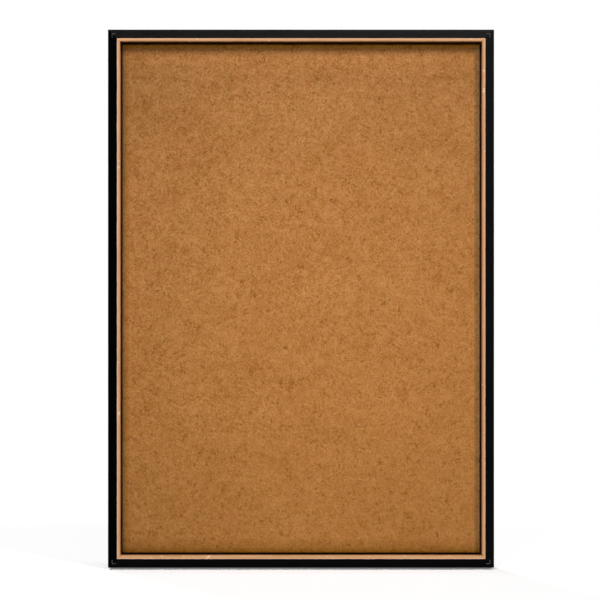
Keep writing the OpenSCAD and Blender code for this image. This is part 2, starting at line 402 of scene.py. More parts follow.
def lapped(kit, colour, outwards, lap):
    """A strip's colour, with the rail's paint lapping unevenly over this width of its outer edge."""
    edge = 1 - lap / (BODY_W - RIM_W)
    uneven = kit.plus(outwards, kit.remap(kit.noise(9 * MM, 2, 0.5), 0.35, 0.65, -0.02, 0.02))
    return kit.tinted(colour, (0.004, 0.004, 0.004), uneven, edge, edge + 0.02)


def bare_wood(name, axis, level, wall_painted_shade, lip, lap):
    """Sanded pale hardwood with fine pores along its length, with painted shade darkening it towards the
    opening and on its wall inside.
    Lip is the share of its palest tone at its outer edge, a painted highlight, level its lightness with
    painted light per side, and lap the width of the rail's paint over it."""
    kit = new_material("bare_wood_" + name)
    rings = kit.noise(1.3 * MM, 3, 0.6, kit.drawn_out(along_grain(axis, 45)), 0.3)
    pores = kit.noise(0.35 * MM, 2, 0.5, kit.drawn_out(along_grain(axis, 14)))
    patches = kit.noise(60 * MM, 2, 0.5)
    x, depth, z = kit.parts(kit.coordinates())
    across, half = (z, BOARD_H / 2) if axis == ALONG_X else (x, BOARD_W / 2)
    outwards = kit.remap(kit.maths("ABSOLUTE", across), half - BODY_W, half - RIM_W)
    tone = kit.remap(rings, 0.3, 0.7)
    # Painted shade: the strip is darker towards the opening and paler towards its outer edge
    inner = kit.blend(tone, (0.60, 0.310, 0.125), (0.46, 0.220, 0.080))
    outer = kit.blend(tone, (0.92, 0.500, 0.265), (0.76, 0.385, 0.185))
    colour = kit.blend(outwards, inner, outer)
    # Painted highlight along the outer edge, as much as lip
    colour = kit.tinted(colour, (0.93, 0.70, 0.58), outwards, 0.66, 0.9, lip)
    colour = kit.tinted(colour, (0.76, 0.42, 0.23), patches, 0.35, 0.65, 0.3)
    colour = kit.tinted(colour, (0.33, 0.15, 0.06), pores, 0.6, 0.75, 0.45)
    colour = kit.tinted(colour, (0.92, 0.66, 0.45), kit.noise(7 * MM, 1, 0.5), 0.7, 0.76, 0.7)
    # Painted shade on the wall inside the opening, down to level times the wall's shade, on a level that
    # holds painted light per side
    start, end = FRONT_Y + STRIP_EDGE_R, FRONT_Y + WALL_SHADED
    colour = kit.dimmed(colour, kit.remap(depth, start, end, level, level * wall_painted_shade, smooth=True))
    if lap:
        colour = lapped(kit, colour, outwards, lap)
    normal = kit.bump(pores, -0.05 * MM, kit.bump(rings, 0.03 * MM))
    return finish(kit, colour, kit.remap(rings, 0.3, 0.7, 0.5, 0.66), normal, specular=0.3)


# The panel's tones at its top and bottom, bluer at the top, each as a dark and a pale granule
CORK_TOP = ((0.372, 0.125, 0.011), (0.613, 0.297, 0.101))
CORK_BOTTOM = ((0.372, 0.120, 0.004), (0.613, 0.290, 0.085))
# Painted light: where the panel is painted brightest, and how much darker it is painted half a width or
# half a height away
CORK_BRIGHT_X = 48 * MM
CORK_BRIGHT_Z = -16 * MM
CORK_PAINTED_FALLOFF_X = 0.105
CORK_PAINTED_FALLOFF_Z = 0.165
# How light the panel is, and how far its patches and clouds lift and lower that
CORK_LEVEL = 1.025
PATCH_SHADE = 0.065
CLOUD_SHADE = 0.06
# How much each pattern tells in the grain: fine grit, granules, patches and clouds, and the fibres
PATTERN_WEIGHTS = (2.15, 1.0, 0.64, 0.34)
FIBRE_WEIGHT = 0.3
# How strong all of it is at the lower right and the upper left, where z - x has this size
CALM_STRENGTH = 0.80
ROUGH_STRENGTH = 1.30
ROUGH_REACH = 0.4
# Painted light and shade along the sides of the panel: the side, how far in it starts, where it is full,
# and its tint. The first lightens the top as painted light, the others are painted shade, and the last is
# the darkest, in the gap at the bottom
RIM_PAINTED_LIGHT_AND_SHADE = (
    (TOP, 40 * MM, 1 * MM, (1.20, 1.19, 1.19)),
    (TOP, 7.5 * MM, 1 * MM, (1.0, 1.0, 0.30)),
    (RIGHT, 8 * MM, 1 * MM, (0.82, 1.05, 1.5)),
    (BOTTOM, 22 * MM, 1 * MM, (0.70, 0.68, 0.48)),
    (BOTTOM, 8 * MM, 1 * MM, (0.70, 0.69, 0.25)),
    (LEFT, 10 * MM, 1 * MM, (0.60, 0.64, 0.55)),
    (BOTTOM, 2.2 * MM, 0.5 * MM, (0.45, 0.40, 0.40)),
)


def with_painted_rim_light_and_shade(kit, colour, x, z):
    """The panel's colour, with painted light and shade tinted along its four sides."""
    insets = {
        TOP: kit.minus(CORK_HIGH.z, z),
        RIGHT: kit.minus(CORK_HIGH.x, x),
        BOTTOM: kit.minus(z, CORK_LOW.z),
        LEFT: kit.minus(x, CORK_LOW.x),
    }
    for side, start, full, tint in RIM_PAINTED_LIGHT_AND_SHADE:
        share = kit.remap(insets[side], start, full, smooth=True)
        colour = kit.blend(share, colour, tint, kind="MULTIPLY")
    return colour


def painted_falloff_along(kit, place, brightest, half, most):
    """How much darker the panel is painted at this place along one axis than where it is brightest: a
    painted falloff of light.
    """
    away = kit.maths("DIVIDE", kit.minus(place, brightest), half)
    return kit.times(kit.times(away, away), most)


def painted_light_falloff(kit, x, z):
    """Painted falloff of light: 1 at the brightest place of the panel, and less towards its sides."""
    falloff_x = painted_falloff_along(kit, x, CORK_BRIGHT_X, CORK_HIGH.x, CORK_PAINTED_FALLOFF_X)
    falloff_z = painted_falloff_along(kit, z, CORK_BRIGHT_Z, CORK_HIGH.z, CORK_PAINTED_FALLOFF_Z)
    return kit.minus(1.0, kit.plus(falloff_x, falloff_z))


FIBRE_TURNS = (35, -50, 85)


def fibre_marks(kit, turn):
    """Short pale fibres that all lie one way."""
    along = kit.drawn_out((1, 1, 5), math.radians(turn))
    return kit.remap(kit.noise(0.9 * MM, 1, 0.4, along), 0.60, 0.76)


def cork_face():
    """Fine pressed cork: granules, darker flecks, pale fibres, painted shade and light along the rim, and a
    painted falloff of light towards its sides.
    """
    kit = new_material("cork_face")
    x, _, z = kit.parts(kit.coordinates())
    fine = kit.noise(1.5 * MM, 3, 0.65)
    granules = kit.noise(2.8 * MM, 2, 0.6)
    patches = kit.noise(8 * MM, 2, 0.5)
    clouds = kit.noise(40 * MM, 3, 0.55)
    fibre = 0.0
    for turn in FIBRE_TURNS:
        fibre = kit.larger(fibre, fibre_marks(kit, turn))
    grain = kit.times(fibre, FIBRE_WEIGHT)
    for pattern, weight in zip((fine, granules, patches, clouds), PATTERN_WEIGHTS):
        grain = kit.plus(grain, kit.remap(pattern, 0, 1, -0.5 * weight, 0.5 * weight))
    patch_shade = kit.remap(patches, 0, 1, -PATCH_SHADE, PATCH_SHADE)
    shade = kit.plus(patch_shade, kit.remap(clouds, 0, 1, -CLOUD_SHADE, CLOUD_SHADE))
    up_left = kit.minus(z, x)
    strength = kit.remap(up_left, -ROUGH_REACH, ROUGH_REACH, CALM_STRENGTH, ROUGH_STRENGTH)
    grain = kit.plus(0.5, kit.times(grain, strength))
    height = kit.remap(z, CORK_LOW.z, CORK_HIGH.z)
    dark = kit.blend(height, CORK_BOTTOM[0], CORK_TOP[0])
    pale = kit.blend(height, CORK_BOTTOM[1], CORK_TOP[1])
    colour = kit.blend(grain, dark, pale)
    clusters = kit.remap(kit.noise(9 * MM, 2, 0.6), 0.42, 0.64, 0.2, 1)
    flecks = kit.remap(kit.noise(2.9 * MM, 2, 0.6), 0.46, 0.34, 0, 0.9)
    colour = kit.blend(kit.times(flecks, clusters), colour, (0.255, 0.085, 0.010))
    specks = kit.noise(2.3 * MM, 1, 0.5)
    colour = kit.tinted(colour, (0.200, 0.058, 0.006), specks, 0.26, 0.2, 0.7)
    blush = kit.noise(10 * MM, 3, 0.6)
    colour = kit.tinted(colour, (0.545, 0.203, 0.066), blush, 0.4, 0.7, 0.4)
    shade = kit.plus(CORK_LEVEL, kit.times(shade, strength))
    # Painted falloff of light towards the panel's sides, on top of its random tone
    colour = kit.dimmed(colour, kit.times(shade, painted_light_falloff(kit, x, z)))
    # Painted light and shade along the panel's rim
    colour = with_painted_rim_light_and_shade(kit, colour, x, z)
    normal = kit.bump(fine, 0.04 * MM, kit.bump(granules, 0.07 * MM))
    return finish(kit, colour, kit.remap(fine, 0.2, 0.8, 0.72, 0.9), normal, specular=0.15)


def softboard():
    kit = new_material("softboard")
    fibres = kit.noise(1.2 * MM, 4, 0.7, kit.drawn_out((1, 0.2, 1)))
    colour = kit.tinted((0.22, 0.13, 0.06), (0.42, 0.27, 0.14), fibres, 0.3, 0.7)
    return finish(kit, colour, 0.9, kit.bump(fibres, 0.25 * MM), specular=0.2)


SCREEN_PITCH = 1.7 * MM


def hardboard():
    """The screened back of hardboard: the weave of a wire screen pressed into dark fibre."""
    kit = new_material("hardboard_back")
    x, _, z = kit.parts(kit.coordinates())
    turns = FULL_TURN / SCREEN_PITCH
    across = kit.maths("SINE", kit.times(x, turns))
    down = kit.maths("SINE", kit.times(z, turns))
    weave = kit.times(across, down)
    fibres = kit.noise(4 * MM, 5, 0.75)
    mottle = kit.noise(22 * MM, 4, 0.65)
    stains = kit.noise(120 * MM, 3, 0.55)
    scuffs = kit.noise(9 * MM, 3, 0.6, kit.drawn_out((1, 1, 6), math.radians(28)))
    colour = kit.tinted((0.105, 0.047, 0.017), (0.240, 0.116, 0.048), fibres, 0.3, 0.7)
    colour = kit.tinted(colour, (0.225, 0.116, 0.052), mottle, 0.36, 0.64, 0.5)
    colour = kit.tinted(colour, (0.130, 0.062, 0.026), stains, 0.4, 0.7, 0.3)
    colour = kit.tinted(colour, (0.300, 0.185, 0.100), scuffs, 0.66, 0.8, 0.5)
    colour = kit.dimmed(colour, kit.remap(weave, -1, 1, 0.88, 1.08))
    normal = kit.bump(kit.remap(weave, -1, 1), 0.12 * MM, kit.bump(fibres, 0.1 * MM))
    rough = kit.remap(fibres, 0.3, 0.7, 0.62, 0.78)
    return finish(kit, colour, rough, normal, specular=0.3)


def worn_metal(name, colour, dull, roughness):
    """Metal with streaks, finger marks and fine scratches."""
    kit = new_material(name)
    marks = kit.noise(2.5 * MM, 4, 0.6)
    streaks = kit.noise(0.25 * MM, 2, 0.5, kit.drawn_out((1, 1, 10)))
    shade = kit.tinted(colour, dull, marks, 0.4, 0.65, 0.8)
    fingered = kit.remap(marks, 0.3, 0.7, roughness - 0.07, roughness + 0.1)
    rough = kit.plus(fingered, kit.remap(streaks, 0.3, 0.7, -0.04, 0.04))
    return finish(kit, shade, rough, kit.bump(streaks, 0.02 * MM), metallic=1.0)


def painted_nail():
    """Steel that was painted over with the frame and shows where the paint is rubbed."""
    kit = new_material("painted_nail")
    patches = kit.noise(1.4 * MM, 3, 0.6)
    colour = kit.tinted((0.012, 0.012, 0.013), (0.085, 0.082, 0.078), patches, 0.35, 0.6)
    rough = kit.remap(patches, 0.3, 0.7, 0.35, 0.5)
    return finish(kit, colour, rough, kit.bump(patches, 0.03 * MM), specular=0.3)


def rubber():
    kit = new_material("pad_rubber")
    grain = kit.noise(0.5 * MM, 3, 0.6)
    dust = kit.noise(4 * MM, 3, 0.6)
    colour = kit.tinted((0.018, 0.017, 0.016), (0.045, 0.042, 0.038), dust, 0.4, 0.7)
    rough = kit.remap(dust, 0.3, 0.7, 0.68, 0.85)
    return finish(kit, colour, rough, kit.bump(grain, 0.05 * MM), specular=0.4)


# -------------------- meshes

SMOOTH_ANGLE = math.radians(32)
WELD = 0.003 * MM


def grain_axis(side):
    return ALONG_X if side in (TOP, BOTTOM) else ALONG_Z


def on_side(side, along, depth, inward):
    """A point of one side of the frame: along it, back from its front face and in from its outer edge."""
    y = FRONT_Y + depth
    if side == TOP:
        return along, y, BOARD_H / 2 - inward
    if side == RIGHT:
        return BOARD_W / 2 - inward, y, -along
    if side == BOTTOM:
        return -along, y, inward - BOARD_H / 2
    return inward - BOARD_W / 2, y, along


def new_object(name, vertices, faces):
    mesh = bpy.data.meshes.new(name)
    mesh.from_pydata(vertices, [], faces)
    made = bpy.data.objects.new(name, mesh)
    add_to_scene(made)
    return made


def clean_mesh(mesh):
    """Welds corners that lie on each other and turns all faces out."""
    shape = bmesh.new()
    shape.from_mesh(mesh)
    bmesh.ops.remove_doubles(shape, verts=shape.verts, dist=WELD)
    bmesh.ops.recalc_face_normals(shape, faces=shape.faces)
    shape.to_mesh(mesh)
    shape.free()


def apply_modifiers(piece):
    depsgraph = bpy.context.evaluated_depsgraph_get()
    piece.data = bpy.data.meshes.new_from_object(piece.evaluated_get(depsgraph), depsgraph=depsgraph)
    piece.modifiers.clear()


def settle(piece, material, node, angle=SMOOTH_ANGLE):
    """Shades a finished piece, gives it its finish, and puts it in the place of its CAD node."""
    clean_mesh(piece.data)
    piece.data.materials.clear()
    piece.data.materials.append(material)
    piece.data.shade_smooth()
    piece.data.set_sharp_from_angle(angle=angle)
    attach(piece, frame["nodes"][node]["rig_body"])
    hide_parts(node)


def carve(piece, shape):
    """Cuts a shape out of a piece."""
    cutter = shape.made(piece.name + "_cutter")
    cut = piece.modifiers.new("cut", "BOOLEAN")
    cut.operation = "DIFFERENCE"
    cut.solver = "EXACT"
    cut.object = cutter
    apply_modifiers(piece)
    bpy.data.objects.remove(cutter)


def solids(node):
    """Lowest and highest corner of each separate solid of a CAD node, in order of their places."""
    shape = bmesh.new()
    shape.from_mesh(frame["nodes"][node].data)
    bmesh.ops.remove_doubles(shape, verts=shape.verts, dist=0.001 * MM)
    unseen = set(shape.verts)
    boxes = []
    while unseen:
        group = [unseen.pop()]
        for vertex in group:
            for edge in vertex.link_edges:
                other = edge.other_vert(vertex)
                if other in unseen:
                    unseen.remove(other)
                    group.append(other)
        along_axes = list(zip(*(vertex.co for vertex in group)))
        boxes.append(tuple(Vector([pick(places) for places in along_axes]) for pick in (min, max)))
    shape.free()
    return sorted(boxes, key=lambda box: (round(box[0].x, 5), round(box[0].z, 5)))


def centre_of(low, high):
    """(x, z) of the middle of a box."""
    return (low.x + high.x) / 2, (low.z + high.z) / 2


def arc(steps, sweep=QUARTER_TURN):
    """Angles or lengths from 0 to sweep, in equal steps."""
    return [sweep * step / steps for step in range(steps + 1)]


def graded(half, close, step):
    """Places from -half to half, this step apart, but at these distances close to each end."""
    reach = half - close[-1]
    count = round(2 * reach / step)
    middle = [reach * (2 * index / count - 1) for index in range(1, count)]
    ends = [half - distance for distance in close]
    return [-end for end in ends] + middle + ends[::-1]


# -------------------- shapes


def side_faces(rings):
    """Faces between each ring of vertex numbers and the next."""
    faces = []
    for near, far in zip(rings, rings[1:]):
        faces += zip(near, near[1:] + near[:1], far[1:] + far[:1], far)
    return faces


def numbered(count, around):
    """Numbers of the vertices of this many rings, with this many around each."""
    return np.arange(count * around).reshape(count, around).tolist()


class Shape:
    """Vertices and faces of one or more closed skins over rings of points."""

    def __init__(self, *skins):
        self.vertices, self.faces = [], []
        for rings in skins:
            self.add_rings(rings)

    def add(self, vertices, faces):
        start = len(self.vertices)
        self.vertices += [tuple(v) for v in vertices]
        self.faces += [tuple(start + index for index in face) for face in faces]

    def add_rings(self, rings, closed_path=False):
        """Skins equal rings of points, and caps the first and the last unless the path closes on itself."""
        numbers = numbered(len(rings), len(rings[0]))
        if closed_path:
            faces = side_faces(numbers + numbers[:1])
        else:
            faces = side_faces(numbers) + [numbers[0], numbers[-1]]
        self.add([point for ring in rings for point in ring], faces)

    def made(self, name):
        piece = new_object(name, self.vertices, self.faces)
        clean_mesh(piece.data)
        return piece


def turned_rings(profile, x, z, steps):
    """Rings of a round shape whose profile is (radius, y), about an axis along Y."""
    angles = arc(steps, FULL_TURN)[:-1]
    return [[(x + r * math.cos(a), y, z + r * math.sin(a)) for a in angles] for r, y in profile]


# -------------------- outlines

ARC_STEPS = 5
FLAT_STEP = 2.6 * MM
HOLD = 0.25 * MM


def square_turn(corner, before, after, radius):
    """Points of one rounded square corner, with 1 beside each, or a sharp corner with 0."""
    corner, before, after = Vector(corner), Vector(before), Vector(after)
    if not radius:
        return [(corner, 0.0)]
    back = (before - corner).normalized()
    on = (after - corner).normalized()
    centre = corner + (back + on) * radius
    points = [(corner + back * (radius + HOLD), 0.0)]
    for turn in arc(ARC_STEPS):
        points.append((centre - on * radius * math.cos(turn) - back * radius * math.sin(turn), 1.0))
    points.append((corner + on * (radius + HOLD), 0.0))
    return points


def outline(*corners):
    """Closed outline of (depth, inward, radius) corners, as [(point, roundness)], its flats divided."""
    turned = []
    for index, (depth, inward, radius) in enumerate(corners):
        before = corners[index - 1][:2]
        after = corners[(index + 1) % len(corners)][:2]
        turned += square_turn((depth, inward), before, after, radius)
    points = []
    for index, (point, roundness) in enumerate(turned):
        following = turned[(index + 1) % len(turned)][0]
        points.append((point, roundness))
        count = int((following - point).length / FLAT_STEP)
        points += [(point.lerp(following, step / (count + 1)), 0.0) for step in range(1, count + 1)]
    return points


RAIL_OUTLINE = outline(
    (0, 0, RAIL_EDGE_R),
    (0, RIM_W, 0),
    (STRIP_D, RIM_W, 0),
    (STRIP_D, BODY_W, 0),
    (LEDGE_DEPTH, BODY_W, 0),
    (LEDGE_DEPTH, LEDGE_W, LEDGE_EDGE_R),
    (FRAME_D, LEDGE_W, RAIL_EDGE_R),
    (FRAME_D, 0, RAIL_EDGE_R),
)
STRIP_OUTLINE = outline(
    (0, RIM_W, STRIP_JOINT_R),
    (0, BODY_W, STRIP_EDGE_R),
    (STRIP_D, BODY_W, 0),
    (STRIP_D, RIM_W, 0),
)

# -------------------- mitred bars

MITRE_CHAMFER = 0.12 * MM
# Rings close to a mitre, by their distance from it, and the spacing of the others
MITRE_RINGS = [0, 0.12 * MM, 0.35 * MM, 0.7 * MM, 1.1 * MM, 1.8 * MM, 3 * MM, 5 * MM]
RING_STEP = 6 * MM
# Length of the waves in a bar's faces and of the dents in its edges
FACE_WAVE_L = 28 * MM
DENT_L = 5 * MM


def outward_normals(points):
    """Unit normals of a closed outline that runs so that its outside is on the left."""
    normals = []
    for index, point in enumerate(points):
        chord = points[(index + 1) % len(points)] - points[index - 1]
        normals.append(Vector((-chord.y, chord.x)).normalized())
    return normals


def eased_corner(x, z):
    """Rounds the four outer corners of the frame."""
    middle_x, middle_z = BOARD_W / 2 - CORNER_R, BOARD_H / 2 - CORNER_R
    over_x, over_z = abs(x) - middle_x, abs(z) - middle_z
    if over_x <= 0 or over_z <= 0:
        return x, z
    shrink = min(1.0, CORNER_R / math.hypot(over_x, over_z))
    return math.copysign(middle_x + over_x * shrink, x), math.copysign(middle_z + over_z * shrink, z)


def unevenness(place, seed):
    """Smooth noise from 0 to 1."""
    return 0.5 + 0.5 * max(-1.0, min(1.0, 1.6 * noise.noise(place + Vector((seed, 0, 0)))))


def mitred_bar(name, side, points, face_wave, arris_wear):
    """A bar along one side of the frame, mitred at both ends, slightly uneven and worn at its edges."""
    flat = [point for point, _ in points]
    roundness = [value for _, value in points]
    normals = outward_normals(flat)
    half = (BOARD_W if grain_axis(side) == ALONG_X else BOARD_H) / 2
    vertices, arris = [], []
    for place in graded(half, MITRE_RINGS, RING_STEP):
        chamfer = MITRE_CHAMFER if abs(place) == half else 0.0
        for point, normal, rounded in zip(flat, normals, roundness):
            along = place / half * (half - point.y)
            here = Vector(on_side(side, along, point.x, point.y))
            dent = chamfer + face_wave * unevenness(here / FACE_WAVE_L, side)
            dent += rounded * arris_wear * unevenness(here / DENT_L, 10 + side) ** 2
            depth, inward = point - normal * dent
            x, y, z = on_side(side, along, depth, inward)
            x, z = eased_corner(x, z)
            vertices.append((x, y, z))
            arris.append(rounded)
    numbers = numbered(len(vertices) // len(flat), len(flat))
    bar = new_object(name, vertices, [numbers[0], numbers[-1]] + side_faces(numbers))
    attribute = bar.data.attributes.new("arris", "FLOAT", "POINT")
    attribute.data.foreach_set("value", arris)
    clean_mesh(bar.data)
    return bar


# -------------------- pieces

NAIL_T = 0.7 * MM
NAIL_FIT = 0.05 * MM
NAIL_BEND_R = 0.55 * MM
NAIL_SUNK = 0.06 * MM
SCREW_R = 1.5 * MM
SCREW_FIT = 0.1 * MM
THREAD_PITCH = 1.2 * MM
THREAD_DEPTH = 0.42 * MM
TIP_L = 3 * MM
CUT_PAST = 1 * MM
HOLE_STEPS = 24


def nail_rings(box, grow, start_y, end_y):
    """Two rings of a corner nail: a strip bent square, with its bend towards the board's corner."""
    low, high = box
    hand, rise = math.copysign(1, low.x), math.copysign(1, low.z)
    corner_x = high.x if hand > 0 else low.x
    corner_z = high.z if rise > 0 else low.z
    leg, wall = high.x - low.x + grow, NAIL_T + grow
    bend_r = NAIL_BEND_R + grow
    centre = bend_r - grow
    bend = [(centre - bend_r * math.sin(turn), centre - bend_r * math.cos(turn)) for turn in arc(ARC_STEPS)]
    inside = [(-grow, leg), (wall, leg), (wall, wall), (leg, wall), (leg, -grow)]
    flat = [(corner_x - hand * u, corner_z - rise * v) for u, v in bend + inside]
    return [[(x, y, z) for x, z in flat] for y in (start_y, end_y)]


SCREWS = solids("panel_screws") + solids("hanger_screws")
# (x, z, y of the tip) of each screw through the frame
SCREW_PLACES = [(*centre_of(low, high), low.y) for low, high in SCREWS]
FRONT_NAILS = solids("front_corner_nails")
REAR_NAILS = solids("rear_corner_nails")


def screw_hole(x, z, start_y, end_y, steps):
    return turned_rings([(SCREW_R + SCREW_FIT, y) for y in (start_y, end_y)], x, z, steps)


SCREW_HOLES = [screw_hole(x, z, y - SCREW_FIT, REAR_Y + CUT_PAST, HOLE_STEPS) for x, z, y in SCREW_PLACES]
NAIL_SLOTS = [nail_rings(box, NAIL_FIT, FRONT_Y - CUT_PAST, box[1].y + NAIL_FIT) for box in FRONT_NAILS]
NAIL_SLOTS += [nail_rings(box, NAIL_FIT, box[0].y - NAIL_FIT, REAR_Y + CUT_PAST) for box in REAR_NAILS]


# How light each side's paint is in front, and how much it shines there. The lightness is painted light:
# lightest on the top side and darkest on the left, as light falls from above and the right
PAINT_BASE_PAINTED_LIGHT = {TOP: 0.0052, RIGHT: 0.0012, BOTTOM: 0.0008, LEFT: 0.0005}
FRONT_SHEEN = {TOP: 0.045, RIGHT: 0.036, BOTTOM: 0.030, LEFT: 0.010}
# The wood inside each side's rebate, whose tone per side is painted light and shade: lightest at the top
# and darkest at the bottom
REBATE_TONE_PAINTED_LIGHT = {
    TOP: (0.80, 0.34, 0.060),
    RIGHT: (0.16, 0.05, 0.005),
    BOTTOM: (0.02, 0.006, 0.002),
    LEFT: (0.28, 0.08, 0.010),
}

FRONT_PAINT, SIDE_PAINT, REBATE_WOOD = range(3)
PAINT_LAP = 1 * MM
# How far a face has to be turned backwards or outwards to have the side's paint
BACKWARDS = 0.5
OUTWARDS = 0.6


def finish_of_face(face, side):
    """Which finish a face of a rail has: paint outside and at the back, and bare wood inside its rebate."""
    outwards = Vector(on_side(side, 0, 0, 0)) - Vector(on_side(side, 0, 0, 1))
    if face.normal.y > BACKWARDS or face.normal.dot(outwards) > OUTWARDS:
        return SIDE_PAINT
    depth = face.center.y - FRONT_Y
    return REBATE_WOOD if PAINT_LAP < depth < LEDGE_DEPTH + PAINT_LAP else FRONT_PAINT


def make_frame():
    side_paints = {axis: side_paint(axis) for axis in (ALONG_X, ALONG_Z)}
    for side, (rail, _) in SIDES.items():
        bar = mitred_bar("rail_of_" + rail, side, RAIL_OUTLINE, 0.05 * MM, 0.12 * MM)
        carve(bar, Shape(*SCREW_HOLES, *NAIL_SLOTS))
        settle(bar, front_paint(rail, PAINT_BASE_PAINTED_LIGHT[side], FRONT_SHEEN[side]), rail)
        bar.data.materials.append(side_paints[grain_axis(side)])
        bar.data.materials.append(rebate_wood(rail, grain_axis(side), REBATE_TONE_PAINTED_LIGHT[side]))
        for face in bar.data.polygons:
            face.material_index = finish_of_face(face, side)


# How light each bare strip is, and what is left of that on its wall inside the opening. These are painted
# light and shade:
# lit and shaded copies of one wood per side, painted shade on the wall, darkest under the top strip, and a
# painted highlight at the outer edge
STRIP_PAINTED_LIGHT_LEVEL = {TOP: 1.0, RIGHT: 0.95, BOTTOM: 0.99, LEFT: 1.06}
STRIP_WALL_PAINTED_SHADE = {TOP: 0.15, RIGHT: 0.95, BOTTOM: 0.7, LEFT: 0.95}
STRIP_LIP_PAINTED_HIGHLIGHT = {TOP: 0.1, RIGHT: 0.15, BOTTOM: 0.6, LEFT: 0.8}
STRIP_LAP = {TOP: 0, RIGHT: 0, BOTTOM: 0, LEFT: 0.5 * MM}


def make_strips():
    for side, (_, strip) in SIDES.items():
        bar = mitred_bar("strip_of_" + strip, side, STRIP_OUTLINE, 0.03 * MM, 0.1 * MM)
        looks = [table[side] for table in (STRIP_PAINTED_LIGHT_LEVEL, STRIP_WALL_PAINTED_SHADE, STRIP_LIP_PAINTED_HIGHLIGHT, STRIP_LAP)]
        settle(bar, bare_wood(strip, grain_axis(side), *looks), strip)


def make_nails(name, node, boxes, sunk_front, sunk_rear, steel):
    """The nails of one node, sunk a little below the face that they were driven into."""
    nails = [nail_rings(box, 0, box[0].y + sunk_front, box[1].y - sunk_rear) for box in boxes]
    settle(Shape(*nails).made(name), steel, node)


# -------------------- panel

# Grid lines close to a sheet's rim, by their distance from it
EDGE_LINES = [0, 0.1 * MM, 0.28 * MM, 0.6 * MM, 1.1 * MM]
# Layers in the depth of a sheet's edge, the size of its unevenness, and how much lies in that depth
EDGE_LAYERS = 5
EDGE_WAVE = 3 * MM
EDGE_DEPTH = 6 * MM


def edge_drop(inset, radius):
    """How far a rounded edge falls away at this distance from the rim."""
    if inset >= radius:
        return 0.0
    return radius - math.sqrt(radius**2 - (radius - inset) ** 2)


def sheet(name, node, step, relief, edge_r, ragged, shown_front):
    """A closed board whose shown face is a fine grid with relief, and whose rim is rounded and uneven."""
    low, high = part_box(node)
    half_x, half_z = (high.x - low.x) / 2, (high.z - low.z) / 2
    face_y, back_y = (low.y, high.y) if shown_front else (high.y, low.y)
    inwards = math.copysign(1, back_y - face_y)
    across, up = graded(half_x, EDGE_LINES, step), graded(half_z, EDGE_LINES, step)
    vertices = []
    for z in up:
        for x in across:
            inset = min(half_x - abs(x), half_z - abs(z))
            sink = relief(x, z) + edge_drop(inset, edge_r)
            vertices.append((x, face_y + inwards * sink, z))
    grid = np.arange(len(vertices)).reshape(len(up), len(across))
    corners = (grid[:-1, :-1], grid[:-1, 1:], grid[1:, 1:], grid[1:, :-1])
    faces = np.stack(corners, axis=-1).reshape(-1, 4).tolist()
    bottom, right, top, left = grid[0], grid[1:, -1], grid[-1, -2::-1], grid[-2:0:-1, 0]
    rim = np.concatenate((bottom, right, top, left)).tolist()
    rings = [rim]
    for layer in range(1, EDGE_LAYERS + 1):
        share = layer / EDGE_LAYERS
        ring = []
        for index in rim:
            x, y, z = vertices[index]
            bite = 1 - ragged * unevenness(Vector((x, share * EDGE_DEPTH, z)) / EDGE_WAVE, layer) / half_x
            ring.append(len(vertices))
            vertices.append((x * bite, y + (back_y - y) * share, z * bite))
        rings.append(ring)
    board = new_object(name, vertices, faces + side_faces(rings) + [rings[-1]])
    clean_mesh(board.data)
    return board


def pressed_relief(x, z):
    """Depth of the cork's surface below its highest granules."""
    place = Vector((x, 0, z))
    granules = unevenness(place / (5.5 * MM), 3)
    grit = unevenness(place / (3.6 * MM), 7)
    waves = unevenness(place / (60 * MM), 5)
    return (0.035 * granules + 0.03 * grit + 0.08 * waves) * MM


def warped_relief(x, z):
    return 0.06 * MM * unevenness(Vector((x, 0, z)) / (90 * MM), 9)


def make_panel():
    """The cork face, and behind it the core and the backer, which the screws go into."""
    face = sheet("cork_face_sheet", "cork_sheet", 1.75 * MM, pressed_relief, 0.5 * MM, 0.15 * MM, True)
    settle(face, cork_face(), "cork_sheet")
    core = sheet("softboard_core", "core_board", 12 * MM, warped_relief, 0.4 * MM, 0.6 * MM, True)
    carve(core, Shape(*SCREW_HOLES))
    settle(core, softboard(), "core_board")
    back = sheet("hardboard_back", "backer_sheet", 8 * MM, warped_relief, 0.2 * MM, 0.12 * MM, False)
    carve(back, Shape(*SCREW_HOLES))
    settle(back, hardboard(), "backer_sheet")


# -------------------- screws

RECESS_L = 3.7 * MM
RECESS_W = 0.85 * MM
RECESS_DEPTH = 1.25 * MM
RECESS_TAPER = 0.45
# Points round a screw, and rings to one turn of its thread, which ends at its smooth neck
SCREW_STEPS = 20
RINGS_PER_TURN = 7
NECK_L = 0.6 * MM
# Half the width of the thread's ridge, as a share of its pitch, and the share left of the point
RIDGE_HALF = 0.28
TIP_SHARE = 0.12
# Rounded underside of a head, as how far in from its rim and how high
HEAD_UNDERSIDE = ((0.25 * MM, 0), (0.06 * MM, 0.07 * MM), (0, 0.22 * MM))
# Share of its height where its dome starts, and the dome's steps and flatness
HEAD_SIDE = 0.42
DOME_STEPS = 8
DOME_FLATNESS = 0.8


def thread_rings(length):
    """Rings of a screw's point and thread, from its tip at y = -length to its neck."""
    threaded = length - NECK_L
    count = round(threaded / THREAD_PITCH * RINGS_PER_TURN)
    rings = []
    for index in range(count + 1):
        y = -length + threaded * index / count
        point = min(1.0, TIP_SHARE + (1 - TIP_SHARE) * (y + length) / TIP_L)
        ring = []
        for angle in arc(SCREW_STEPS, FULL_TURN)[:-1]:
            phase = (y / THREAD_PITCH - angle / FULL_TURN) % 1
            ridge = max(0.0, 1 - abs(phase - 0.5) / RIDGE_HALF)
            radius = (SCREW_R - THREAD_DEPTH * (1 - ridge)) * point
            ring.append((radius * math.cos(angle), y, radius * math.sin(angle)))
        rings.append(ring)
    return rings


